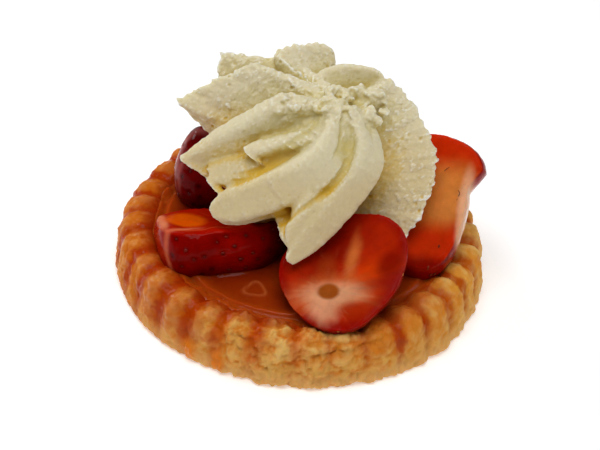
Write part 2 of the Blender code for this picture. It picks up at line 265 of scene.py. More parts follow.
def billow(points, size, octaves, seed=0.0):
    """Rounded lumps with sharp creases between them, from 0 to about 1."""
    shift = Vector((seed * 11.3, seed * 4.9, seed * 8.1))
    found = np.zeros(len(points))
    total = 0.0
    for octave in range(octaves):
        scale, weight = size / 2.1 ** octave, 0.55 ** octave
        found += weight * np.array([abs(noise.noise(Vector(point) / scale + shift)) for point in points])
        total += weight * 0.5
    return found / total


def pits(points, size, share, radius, seed=0.0):
    """1 in the middle of scattered small pits and 0 between them."""
    shift = Vector((seed * 5.3, seed * 9.1, seed * 2.7))
    found = np.zeros(len(points))
    for index, point in enumerate(points):
        away, middles = noise.voronoi(Vector(point) / size + shift)
        if noise.cell(middles[0] * 7.3) < share:
            found[index] = max(0.0, 1.0 - away[0] / radius)
    return found * found * (3 - 2 * found)


def added(name, data):
    """A new object, put in the scene."""
    thing = bpy.data.objects.new(name, data)
    bpy.context.scene.collection.objects.link(thing)
    return thing


def make_mesh(name, verts, faces, colours=None, wet=None):
    """A smooth-shaded object from arrays, with a colour and a wetness kept at each point."""
    mesh = bpy.data.meshes.new(name)
    faces = np.asarray(faces, dtype=np.int32)
    corners = faces.shape[1]
    mesh.vertices.add(len(verts))
    mesh.vertices.foreach_set("co", np.asarray(verts, dtype=np.float32).ravel())
    mesh.loops.add(faces.size)
    mesh.loops.foreach_set("vertex_index", faces.ravel())
    mesh.polygons.add(len(faces))
    mesh.polygons.foreach_set("loop_start", np.arange(0, faces.size, corners, dtype=np.int32))
    mesh.update(calc_edges=True)
    mesh.validate()
    mesh.shade_smooth()
    store(mesh, colours, wet)
    return added(name, mesh)


def store(mesh, colours=None, wet=None):
    """Keeps a colour and a wetness at each point of a mesh."""
    if colours is not None:
        layer = mesh.color_attributes.new("tint", "FLOAT_COLOR", "POINT")
        full = np.ones((len(mesh.vertices), 4), dtype=np.float32)
        full[:, :3] = np.clip(colours, 0, 1)
        layer.data.foreach_set("color", full.ravel())
    if wet is not None:
        layer = mesh.attributes.new("wet", "FLOAT", "POINT")
        layer.data.foreach_set("value", np.asarray(wet, dtype=np.float32))


def round_z(radius, azimuth, height):
    """Points from arrays of radii, azimuths in radians and heights."""
    return np.stack([radius * np.cos(azimuth), radius * np.sin(azimuth), height], axis=-1)


def ring_faces(rings, steps):
    """Quads between closed rings of points."""
    row, step = np.meshgrid(np.arange(rings - 1), np.arange(steps), indexing="ij")
    after = (step + 1) % steps
    return np.stack([row * steps + step, row * steps + after, (row + 1) * steps + after,
                     (row + 1) * steps + step], axis=-1).reshape(-1, 4)


def tube_faces(rings, steps, ends):
    """Quads of a closed tube, whose two end rings are filled by the quads in `ends`."""
    caps = [[first + turn for turn in corners] for first in (0, (rings - 1) * steps) for corners in ends]
    return np.concatenate([ring_faces(rings, steps), caps])


def read_points(thing, kind="co"):
    """The places, or with "normal" the normals, of an object's points."""
    values = np.zeros(len(thing.data.vertices) * 3, dtype=np.float32)
    thing.data.vertices.foreach_get(kind, values)
    return values.reshape(-1, 3).astype(float)


def move_points(thing, verts):
    thing.data.vertices.foreach_set("co", np.asarray(verts, dtype=np.float32).ravel())
    thing.data.update()


def tree_of(*things):
    """One search tree over the faces of one or more pieces."""
    verts, faces = [], []
    for thing in things:
        start = len(verts)
        verts += [vert.co[:] for vert in thing.data.vertices]
        faces += [[start + index for index in face.vertices] for face in thing.data.polygons]
    return BVHTree.FromPolygons(verts, faces)


def kd_tree(points):
    tree = KDTree(len(points))
    for index, point in enumerate(points):
        tree.insert(point, index)
    tree.balance()
    return tree


def distances(tree, points):
    """How far each point is from the nearest one in a tree."""
    return np.array([tree.find(point)[2] for point in points])


def from_faces(tree, points):
    """How far each point is from the nearest face in a tree."""
    return np.array([tree.find_nearest(Vector(point))[3] for point in points])


def hollowness(thing, rays=14, reach=0.009):
    """How much of the sky over each point is closed off by the piece itself, from 0 to 1."""
    tree = tree_of(thing)
    spread = []
    golden = math.pi * (3 - math.sqrt(5))
    for index in range(rays):
        up = 1 - (index + 0.5) / rays * 0.85
        flat = math.sqrt(1 - up * up)
        spread.append((flat * math.cos(golden * index), flat * math.sin(golden * index), up))
    verts, normals = read_points(thing), read_points(thing, "normal")
    found = np.zeros(len(verts))
    for index, (point, normal) in enumerate(zip(verts, normals)):
        normal = Vector(normal)
        side = normal.orthogonal().normalized()
        other = normal.cross(side)
        start = Vector(point) + normal * 0.0002
        hits = 0.0
        for a, b, c in spread:
            if tree.ray_cast(start, side * a + other * b + normal * c, reach)[0] is not None:
                hits += c
        found[index] = hits
    return found / sum(c for _, _, c in spread)


# Materials

def shader(name):
    material = bpy.data.materials.new(name)
    material.use_nodes = True
    return material, material.node_tree, material.node_tree.nodes["Principled BSDF"]


def fill_inputs(tree, target, inputs):
    """Links what is given as a socket to a node's inputs, and sets what is given as a value."""
    for socket, value in inputs.items():
        if isinstance(value, bpy.types.NodeSocket):
            tree.links.new(value, target.inputs[socket])
        else:
            target.inputs[socket].default_value = value


def node(tree, kind, output, inputs, **settings):
    """One output of a new node."""
    made = tree.nodes.new(kind)
    for key, value in settings.items():
        setattr(made, key, value)
    fill_inputs(tree, made, inputs)
    return made.outputs[output]


def speckle(tree, size, detail, roughness=0.5):
    """A noise with features of the given size."""
    where = node(tree, "ShaderNodeTexCoord", "Object", {})
    return node(tree, "ShaderNodeTexNoise", "Fac", {
        "Vector": where, "Scale": 1.0 / size, "Detail": detail, "Roughness": roughness})


def ranged(tree, source, low, high, start=0.0, end=1.0):
    """Maps a value from start..end to low..high."""
    return node(tree, "ShaderNodeMapRange", "Result", {
        "Value": source, "From Min": start, "From Max": end, "To Min": low, "To Max": high})


def tinted(tree, size, strength):
    """The colour kept at the points, made a little uneven by a fine noise."""
    tint = node(tree, "ShaderNodeAttribute", "Color", {}, attribute_name="tint")
    level = ranged(tree, speckle(tree, size, 4.0, 0.65), 1.0 - strength, 1.0 + strength, 0.3, 0.7)
    return node(tree, "ShaderNodeVectorMath", "Vector", {0: tint, "Scale": level}, operation="SCALE")


def bumped(tree, sizes, distance, dry):
    """A bump from noises of a few sizes, less where `dry` is low."""
    inputs = {"Distance": distance}
    for size, strength in sizes:
        inputs["Height"] = speckle(tree, size, 3.0)
        inputs["Strength"] = strength
        if dry is not None:
            inputs["Strength"] = node(tree, "ShaderNodeMath", 0, {0: dry, 1: strength}, operation="MULTIPLY")
        inputs["Normal"] = node(tree, "ShaderNodeBump", "Normal", inputs)
    return inputs["Normal"]


class Look(NamedTuple):
    """A Principled material: the grain of its tint, its bumps and their depth, its fixed sockets, those that
    go from a dry to a wet value, and the share of the bumps that is left where it is dry and wet."""
    tint: tuple
    bumps: list
    depth: float
    fixed: dict
    wetted: dict = {}
    bump_share: tuple = ()


LOOKS = {
    "pastry_crumb": Look((0.0014, 0.07), [(0.0016, 0.4), (0.0006, 0.35)], 0.0004, {
        "Coat Roughness": 0.11, "Coat IOR": 1.12, "Specular IOR Level": 0.02,
        "Subsurface Weight": 0.4, "Subsurface Radius": (1.0, 0.5, 0.2), "Subsurface Scale": 0.0012,
    }, {"Roughness": (0.55, 0.2), "Coat Weight": (0.2, 0.9)}, (1.0, 0.12)),
    "set_jelly": Look((0.006, 0.10), [(0.005, 0.12)], 0.0006, {
        "Roughness": 0.10, "IOR": 1.05, "Coat Weight": 1.0, "Coat IOR": 1.16, "Coat Roughness": 0.03,
        "Subsurface Weight": 0.6, "Subsurface Radius": (1.0, 0.35, 0.08), "Subsurface Scale": 0.003,
    }),
    "glazed_strawberry": Look((0.0022, 0.10), [(0.0022, 0.22), (0.0007, 0.12)], 0.0004, {
        "IOR": 1.02, "Coat IOR": 1.12, "Coat Roughness": 0.05,
        "Subsurface Weight": 0.5, "Subsurface Radius": (1.0, 0.22, 0.10), "Subsurface Scale": 0.0022,
    }, {"Roughness": (0.42, 0.20), "Coat Weight": (0.08, 1.0)}),
    "achene": Look((0.0008, 0.25), [(0.0003, 0.2)], 0.0001, {
        "Roughness": 0.45, "Specular IOR Level": 0.1, "Coat Weight": 0.3, "Coat IOR": 1.2,
    }),
    "whipped_cream_soft": Look((0.0009, 0.035), [(0.0012, 0.30), (0.0004, 0.30)], 0.0003, {
        "Roughness": 0.5, "Specular IOR Level": 0.15,
        "Subsurface Weight": 0.55, "Subsurface Radius": (1.0, 0.9, 0.55), "Subsurface Scale": 0.0016,
    }),
}


def made_material(name):
    look = LOOKS[name]
    material, tree, base = shader(name)
    inputs = {"Base Color": tinted(tree, *look.tint), **look.fixed}
    dry = None
    if look.wetted:
        wet = node(tree, "ShaderNodeAttribute", "Fac", {}, attribute_name="wet")
        inputs.update({socket: ranged(tree, wet, *ends) for socket, ends in look.wetted.items()})
        dry = ranged(tree, wet, *look.bump_share) if look.bump_share else None
    inputs["Normal"] = bumped(tree, look.bumps, look.depth, dry)
    fill_inputs(tree, base, inputs)
    return material


# Pastry case

def waver(azimuth, seed):
    waves = ((3, 1.0), (7, 0.7), (11, 0.9), (17, 0.6), (29, 0.5))
    total = sum(size * np.sin(count * azimuth + seed * (2.1 + count)) for count, size in waves)
    return total / sum(size for _, size in waves)


def groove(azimuth):
    bent = azimuth + 0.035 * waver(azimuth, 1.7)
    return 1.0 - np.abs(np.sin(bent * FLUTES / 2)) ** GROOVE_SHARPNESS


def crust_section():
    """Radius, height, share of the grooves and the way they cut, at even steps along the section."""
    marks = np.array([
        (CASE_RADIUS - 0.0012, 0.0, 0.2, -1, 0),
        (CASE_RADIUS - 0.0002, 0.0004, 0.25, -1, 0),
        (CASE_RADIUS, 0.11 * CASE_HEIGHT, 0.35, -1, 0),
        (CASE_RADIUS - 0.0003, 0.41 * CASE_HEIGHT, 0.8, -1, 0),
        (CASE_RADIUS - 0.0008, 0.72 * CASE_HEIGHT, 1.0, -1, 0),
        (CASE_RADIUS - 0.0020, 0.91 * CASE_HEIGHT, 1.0, -0.8, -0.6),
        (CREST_RADIUS, CASE_HEIGHT, 1.0, 0, -1),
        (CREST_RADIUS - CREST_WIDTH, CASE_HEIGHT - 0.0003, 1.0, 0, -1),
        (INNER_EDGE_RADIUS, INNER_EDGE_HEIGHT, 0.8, 0.5, -0.8),
        (INNER_WALL_RADIUS, INNER_WALL_HEIGHT, 0.0, 0, 0),
        (FLOOR_RADIUS, FLOOR_HEIGHT, 0.0, 0, 0),
    ])
    length = np.concatenate([[0], np.cumsum(np.hypot(*np.diff(marks[:, :2], axis=0).T))])
    count = int(length[-1] / CRUST_RING_GAP)
    where = np.linspace(0, length[-1], count)
    section = np.stack([np.interp(where, length, marks[:, column]) for column in range(5)], axis=1)
    kernel = np.hanning(9) / np.hanning(9).sum()
    padded = np.concatenate([np.repeat(section[:1], 4, 0), section, np.repeat(section[-1:], 4, 0)])
    return np.stack([np.convolve(padded[:, column], kernel, mode="valid") for column in range(5)], axis=1)


def around(degrees, middle, spread):
    """1 at an azimuth and less the further round from it."""
    away = (degrees - middle + 180) % 360 - 180
    return np.exp(-(away / spread) ** 2)


def patches_round(degrees, patches):
    """The sum of soft patches round the tart, each a strength, an azimuth and a spread."""
    return sum(much * around(degrees, middle, spread) for much, middle, spread in patches)


def pressed(azimuth, height):
    """How far the rim is pressed down under the front strawberry."""
    share = np.clip((height - 0.5 * CASE_HEIGHT) / (0.5 * CASE_HEIGHT), 0, 1)
    return PRESSED_DEPTH * around(np.degrees(azimuth), PRESSED_AZIMUTH, PRESSED_SPREAD) * share


def wetness(azimuth, radius, height, dent, rough):
    """Where the orange glaze has run over the pastry, from 0 to 1."""
    degrees = np.degrees(azimuth) % 360
    inner = smoothstep(0.0385, 0.0325, radius)
    spill = patches_round(degrees, SPILLS)
    level = (0.10 + 0.9 * inner * (0.5 + spill) + 0.6 * dent * (0.35 + spill)
             + 0.75 * spill * smoothstep(0.0, 0.008, height) + 0.30 * rough - 0.32)
    return smoothstep(0.10, 0.60, level)


def crust():
    section = crust_section()
    turn = np.arange(CRUST_STEPS) * 2 * np.pi / CRUST_STEPS
    azimuth = np.broadcast_to(turn, (len(section), CRUST_STEPS))
    radius, height, share, way_out, way_up = (np.broadcast_to(section[:, column:column + 1], azimuth.shape)
                                              for column in range(5))
    worn = sum(loss * around(np.degrees(azimuth), middle, spread) for middle, spread, loss in WORN_FLUTES)
    dent = groove(azimuth) * share * np.clip(1.0 - worn + 0.25 * waver(azimuth, 2.9), 0.2, 1.1)
    flute = np.floor((azimuth + 0.035 * waver(azimuth, 1.7)) * FLUTES / (2 * np.pi))
    fat = np.sin(flute * 4.7 + 1.3) * (1 - dent)
    oval = -CASE_OVAL * np.cos(2 * azimuth) * share
    out = radius + oval + way_out * dent * GROOVE_DEPTH
    up = height + way_up * dent * GROOVE_DEPTH
    up = up + 0.00045 * fat * np.abs(way_up) * share - pressed(azimuth, height)
    out = out + 0.0003 * fat * np.abs(way_out) * share
    verts = round_z(out, azimuth, up).reshape(-1, 3)
    faces = ring_faces(len(section), CRUST_STEPS)
    flat = [np.ravel(value) for value in (azimuth, radius, height, dent, share)]
    azimuth, radius, height, dent, share = flat
    big = grain(verts, 0.0042, 3, 1.0)
    mid = grain(verts, 0.0016, 3, 2.0)
    fine = grain(verts, 0.0007, 2, 3.0)
    wet = wetness(azimuth, radius, height, dent, big)
    direction = round_z(np.ravel(-way_out), azimuth, np.ravel(-way_up))
    length = np.linalg.norm(direction, axis=1, keepdims=True)
    direction = np.where(length > 0.2, direction / np.maximum(length, 0.2), 0)
    keep = np.minimum(1.0, share * 1.4)
    above = smoothstep(0.0, 0.0015, height)
    crumbs = billow(verts, 0.0030, 4, 6.0)
    lumps = grain(verts, 0.0034, 2, 12.0)
    degrees = np.degrees(azimuth) % 360
    front = around(degrees, 266, 30)
    knobs = billow(verts, 0.0019, 3, 16.0)
    amount = (0.00028 * big + (0.00035 + 0.00095 * front) * (crumbs - 0.5) * (1 - 0.6 * wet)
              + (0.00024 + 0.00070 * front) * lumps + (0.00015 + 0.00040 * front) * (knobs - 0.5)
              + 0.00010 * mid + 0.00006 * fine * (1 - 0.8 * wet)) * keep
    fold_height = FOLD_HEIGHT + FOLD_SLOPE * (degrees - FOLD_AZIMUTH)
    fold = np.exp(-((height - fold_height) / FOLD_WIDTH) ** 2) * smoothstep(0.0360, 0.0385, radius)
    fold = fold * around(degrees, FOLD_AZIMUTH, 12)
    drip = patches_round(degrees, DRIPS) * np.exp(-((height - DRIP_HEIGHT) / DRIP_SPREAD) ** 2)
    wet = np.maximum(wet, smoothstep(0.3, 0.8, drip))
    amount = amount - FOLD_DEPTH * fold + DRIP_SWELL * smoothstep(0.2, 0.9, drip)
    lift = direction * amount[:, None]
    lift[:, 2] *= above
    verts = verts + lift
    verts[:, 2] = np.maximum(verts[:, 2], 0.0)
    flat = verts * np.array([1, 1, 0.4])
    low = smoothstep(0.0050, 0.0, height)
    ragged = 0.6 + around(degrees, 285, 60)
    chew = low * 0.0006 * ragged * grain(flat, 0.0026, 2, 5.0)
    chew += (0.00012 + 0.0006 * low * ragged) * keep * grain(flat, 0.0010, 2, 15.0)
    verts[:, 0] += chew * np.cos(azimuth)
    verts[:, 1] += chew * np.sin(azimuth)

    right = around(degrees, 350, 40)
    in_groove = smoothstep(0.20, 0.80, dent + 0.25 * mid)
    left = around(degrees, 200, 55)
    bars = smoothstep(0.15, 0.75, np.ravel(groove(azimuth)) + 0.3 * mid)
    back = mix(rgb(204, 106, 18), rgb(224, 152, 56), np.clip(1.2 * right + 0.5 * front, 0, 1))
    gap = mix(rgb(174, 54, 0), rgb(192, 94, 16), np.clip(0.8 * right + 0.3 * front, 0, 1))
    colours = mix(back, gap, np.clip(in_groove + 0.8 * left * bars, 0, 1))
    relief = 0.40 * (crumbs - 0.4) + 0.40 * (knobs - 0.4) + 0.5 * lumps + 0.25 * mid + 0.12 * fat.ravel()
    pale = smoothstep(-0.20, 0.55, relief) * np.clip(0.10 + 0.75 * front + 0.60 * right, 0, 1)
    patches = smoothstep(0.0, 0.40, grain(verts, 0.0060, 2, 31.0)) * np.clip(front + 0.6 * right, 0, 1)
    higher = smoothstep(0.0050, 0.0105, height)
    ribs = around(degrees, 252, 24) * smoothstep(0.0345, 0.0365, radius)
    yellow = (1 - higher) * around(degrees, 285, 45) * smoothstep(-0.5, 0.4, mid + 0.5 * big)
    beige = left * (1 - bars) * smoothstep(0.0325, 0.0350, radius) * smoothstep(-0.25, 0.35, big + 0.6 * mid)
    pool = smoothstep(0.15, 0.75, wet + 0.5 * big - 0.35) * (0.45 + 0.55 * np.maximum(in_groove, bars * left))
    low_band = smoothstep(0.0050, 0.0015, height) * (0.85 - 0.6 * around(degrees, 200, 35))
    # The inner rim goes dark red: partly glaze run over it, partly painted shade of the strawberries beside
    # it.
    spilt_and_shade = np.clip(patches_round(degrees, SPILT_RIM_AND_SHADE), 0, 1)
    glaze_well_and_shade = smoothstep(0.0352 + 0.0024 * spilt_and_shade, 0.0314 + 0.0012 * spilt_and_shade, radius + 0.0006 * mid)
    film = smoothstep(0.0390, 0.0350, radius + 0.0008 * mid) * around(degrees, 313, 15)
    colours = layered(colours, [
        ((236, 198, 122), pale * (1 - 0.5 * in_groove) * (1 - 0.5 * wet)),
        ((206, 96, 6), 0.6 * patches * (1 - 0.6 * pale) * (0.35 + 0.65 * higher)),
        ((224, 182, 98), 0.55 * ribs * (1 - bars) * smoothstep(-0.5, 0.2, mid)),
        ((200, 88, 4), 0.6 * ribs * bars),
        ((226, 172, 86), 0.75 * yellow),
        # The fold under the front strawberry is darkened as a painted shadow line in its crease.
        ((172, 110, 34), 0.5 * fold),
        ((228, 156, 82), 0.55 * beige),
        ((174, 56, 0), 0.8 * pool),
        ((226, 174, 104), low_band),
        ((228, 124, 14), 0.85 * smoothstep(0.15, 0.85, drip + 0.15 * mid)),
        ((148, 34, 0), (0.75 + 0.2 * left) * glaze_well_and_shade),
        ((190, 88, 26), 0.75 * film),
    ])
    middle = len(verts)
    ends = np.array([[0, 0, 0.0], [0, 0, FLOOR_HEIGHT]])
    verts = np.concatenate([verts, ends])
    colours = np.concatenate([colours, [rgb(212, 140, 58), rgb(164, 46, 4)]])
    wet = np.concatenate([wet, [0, 1]])
    thing = make_mesh("crust", verts, faces, colours, wet)
    close_ends(thing, len(section), CRUST_STEPS, middle, middle + 1)
    return thing


def rebuilt(thing, caps=()):
    """Adds faces to a mesh and turns all of them outward."""
    builder = bmesh.new()
    builder.from_mesh(thing.data)
    builder.verts.ensure_lookup_table()
    for corners in caps:
        builder.faces.new([builder.verts[index] for index in corners])
    bmesh.ops.recalc_face_normals(builder, faces=builder.faces)
    builder.to_mesh(thing.data)
    builder.free()
    thing.data.shade_smooth()


def close_ends(thing, rings, steps, low, high):
    """Fans the first and last ring of a ringed mesh in to two middle points."""
    last = (rings - 1) * steps
    caps = []
    for step in range(steps):
        after = (step + 1) % steps
        caps += [(after, step, low), (last + step, last + after, high)]
    rebuilt(thing, caps)


# Strawberries

def berry_radius(along, blunt):
    stalk = (1.0 - np.clip((SHOULDER - along) / SHOULDER, 0, 1) ** blunt) ** 0.5
    tip = (1.0 - np.clip((along - SHOULDER) / (1.0 - SHOULDER), 0, 1) ** max(2.0, 0.75 * blunt)) ** 0.55
    return np.where(along < SHOULDER, stalk, tip)


def berry_axes(berry):
    long = Vector(berry.axis).normalized()
    facing = Vector(berry.facing)
    facing = (facing - long * facing.dot(long)).normalized()
    return np.array(long), np.array(facing.cross(long)), np.array(facing)


def berry_surface(berry, along, angle):
    """Where a share of the length and a turn lie on a strawberry: its own across, up and along."""
    size = berry_radius(along, berry.blunt)
    drawn_in = 1.0 - berry.pinch * np.clip((along - PINCH_START) / PINCH_LENGTH, 0, 1)
    side = np.cos(angle) * size * berry.width / 2
    side = np.where(side > 0, side * drawn_in, side)
    up = np.sin(angle) * size * berry.depth
    over = np.clip((up - berry.cut) / CUT_ROUNDING, -30, 30)
    up = np.where(angle < np.pi, berry.cut - CUT_ROUNDING * np.log1p(np.exp(-over)), up)
    return side, up, (along - 0.5) * berry.length


class Palette(NamedTuple):
    """Colours of a strawberry from its skin to its flesh, of its seeds, and where its streaks meet."""
    skin: tuple
    deep: tuple
    rim: tuple
    flesh: tuple
    seed: tuple
    heart: tuple
    streaks: float


PALETTES = {
    "strawberry_front": Palette((140, 6, 4), (84, 0, 0), (150, 12, 2), (180, 36, 4), (190, 120, 54),
                                (-0.0013, -0.0059), 1.0),
    "strawberry_left": Palette((150, 6, 0), (84, 0, 0), (160, 12, 0), (160, 22, 0), (110, 20, 8),
                               (0.0, 0.0), 0.3),
    "strawberry_back_left": Palette((118, 6, 6), (62, 0, 2), (150, 20, 4), (180, 44, 8), (88, 10, 8),
                                    (0.0, 0.0), 0.4),
    "strawberry_right": Palette((150, 12, 6), (92, 2, 0), (184, 40, 4), (200, 92, 24), (120, 40, 18),
                                (0.0030, -0.0020), 0.15),
    "strawberry_back": Palette((132, 10, 8), (74, 2, 4), (170, 28, 8), (204, 76, 24), (150, 96, 40),
                               (0.0, 0.0), 0.8),
    "strawberry_back_right": Palette((134, 12, 8), (78, 2, 4), (170, 28, 8), (206, 78, 24), (150, 96, 40),
                                     (0.0, 0.0), 0.8),
}


class Zone(NamedTuple):
    """A soft-edged patch of colour: middle across and along a strawberry, half sizes in mm, and turn."""
    middle: tuple
    size: tuple
    turn: float
    colour: tuple
    strength: float
    soft: float
    part: str = "face"


ZONES = {
    "strawberry_front": [
        # Dark red along the top of the face under the cream: partly the flesh's own colour, partly a painted
        # shadow of the cream.
        Zone((5.0, 2.0), (3.4, 8.5), -8, (124, 10, 0), 0.85, 0.7),
        Zone((4.6, 8.6), (4.0, 4.0), 0, (160, 26, 2), 0.6, 0.7),
        Zone((-4.6, 2.4), (3.0, 6.2), 16, (212, 60, 2), 0.9, 0.7),
        Zone((-5.2, 7.4), (2.2, 3.0), 0, (128, 6, 2), 0.8, 0.5),
        Zone((0.0, -12.8), (2.4, 2.6), 0, (196, 62, 16), 0.8, 0.7),
        Zone((1.8, -4.2), (2.0, 3.6), -40, (162, 56, 12), 0.7, 0.6),
        Zone((0.8, 2.2), (4.6, 1.2), 51, (212, 112, 48), 0.9, 0.8),
        Zone((-2.8, -5.9), (8.0, 3.6), -52, (208, 104, 48), 0.9, 0.6),
        Zone((-2.8, -5.9), (6.2, 2.4), -52, (226, 164, 122), 0.9, 0.6),
        Zone((-4.2, -9.4), (3.0, 2.8), 0, (224, 158, 118), 0.85, 0.6),
        Zone((-8.6, -4.8), (3.2, 1.9), -50, (170, 38, 4), 0.85, 0.6),
        Zone((-1.7, -6.2), (2.3, 1.7), -50, (164, 80, 20), 1.0, 0.2),
        Zone((-9.2, 7.0), (1.8, 7.0), 24, (136, 14, 14), 0.7, 0.6, "all"),
    ],
    "strawberry_left": [
        Zone((1.0, -15.0), (11.0, 2.4), 0, (150, 18, 4), 0.9, 0.4, "all"),
        # Pale pink lines at the left end and along the front lip: partly the pale glazed edge, partly a
        # painted highlight.
        Zone((1.6, -12.8), (6.2, 1.0), 4, (226, 126, 84), 0.9, 0.5),
        Zone((-5.8, -10.4), (0.8, 4.0), -12, (220, 112, 74), 0.75, 0.9, "all"),
        Zone((-6.4, -4.6), (0.6, 5.6), -4, (196, 66, 36), 0.7, 0.6, "all"),
        Zone((1.6, -7.8), (5.2, 4.2), -16, (208, 76, 0), 1.0, 0.25),
        Zone((-1.0, 5.0), (6.0, 7.0), 0, (146, 14, 0), 0.8, 0.6),
        # The right end, in under the cream, is painted near black as a painted shadow of the cream.
        Zone((0.0, 12.0), (12.0, 6.0), 0, (60, 0, 0), 0.8, 0.6, "all"),
    ],
    "strawberry_right": [
        Zone((1.0, -14.0), (12.0, 5.6), -10, (202, 42, 4), 0.95, 0.55),
        Zone((3.0, -2.2), (6.6, 6.2), 0, (220, 136, 62), 0.9, 0.6),
        Zone((-3.4, -5.0), (2.6, 3.4), 0, (200, 66, 12), 0.8, 0.6),
        Zone((1.0, 9.2), (14.0, 4.8), -4, (196, 40, 2), 0.95, 0.5),
        Zone((1.0, 14.8), (14.0, 3.4), 0, (130, 8, 2), 0.9, 0.5),
        # Pale pink along the right edge: a painted highlight on the glazed skin band.
        Zone((7.8, 0.5), (1.6, 8.5), 0, (232, 172, 130), 0.95, 0.4, "all"),
    ],
    "strawberry_back_left": [
        # Painted highlights: pale pink streaks standing in for light on the wet gloss of the left side.
        Zone((3.0, 3.0), (1.2, 6.0), 14, (190, 110, 104), 0.6, 0.6, "all"),
        Zone((5.6, 0.6), (0.7, 4.0), 10, (176, 84, 78), 0.5, 0.6, "all"),
    ],
}

# Sides without seeds, from this far across, and seeds on a face, as places across and along it
BARE_SIDES = {"strawberry_right": 0.0070}
FACE_SEEDS = {"strawberry_right": [(0.0044, 0.0089), (0.0036, 0.0117), (0.0021, 0.0138), (0.0049, 0.0147)]}


def painted(colours, local, zones, face, wobble):
    """Lays the soft-edged patches of colour over one another."""
    masks = {"face": face, "all": np.ones(len(face))}
    for zone in zones:
        turn = math.radians(zone.turn)
        across, along = local[:, 0] * 1000 - zone.middle[0], local[:, 2] * 1000 - zone.middle[1]
        first = (across * math.cos(turn) + along * math.sin(turn)) / zone.size[0]
        second = (along * math.cos(turn) - across * math.sin(turn)) / zone.size[1]
        away = np.hypot(first, second) + 0.35 * zone.soft * wobble
        share = smoothstep(1 + zone.soft, 1 - zone.soft, away) * masks[zone.part] * zone.strength
        colours = mix(colours, rgb(*zone.colour), share)
    return colours


def seed_spots(berry, seed):
    """Places of the seeds on the skin: shares of the length and turns, evenly spread in a spiral."""
    rng = random.Random(seed)
    golden = math.pi * (3 - math.sqrt(5))
    count = int(berry.length * berry.width / (SEED_GAP ** 2) * 1.7)
    spots = []
    for index in range(count):
        along = 0.05 + 0.92 * (index + 0.5) / count
        angle = (golden * index) % (2 * math.pi)
        along += rng.uniform(-0.012, 0.012)
        angle += rng.uniform(-0.10, 0.10)
        side, up, _ = berry_surface(berry, np.array(along), np.array(angle))
        size = float(berry_radius(np.array(along), berry.blunt))
        crowded = rng.random() > size + 0.1
        bare = float(side) > BARE_SIDES.get(berry.name, 1.0)
        if float(up) > berry.cut - 0.0011 and 0 < angle < math.pi or crowded or bare:
            continue
        spots.append((along, angle))
    return spots


def shown_seeds(berry):
    """The seeds that show through low on the right strawberry's face, as shares and turns."""
    spots = []
    for side, far in FACE_SEEDS.get(berry.name, []):
        along = far / berry.length + 0.5
        size = float(berry_radius(np.array(along), berry.blunt))
        reach = side / (size * berry.width / 2)
        spots.append((along, math.acos(max(-0.95, min(0.95, reach)))))
    return spots


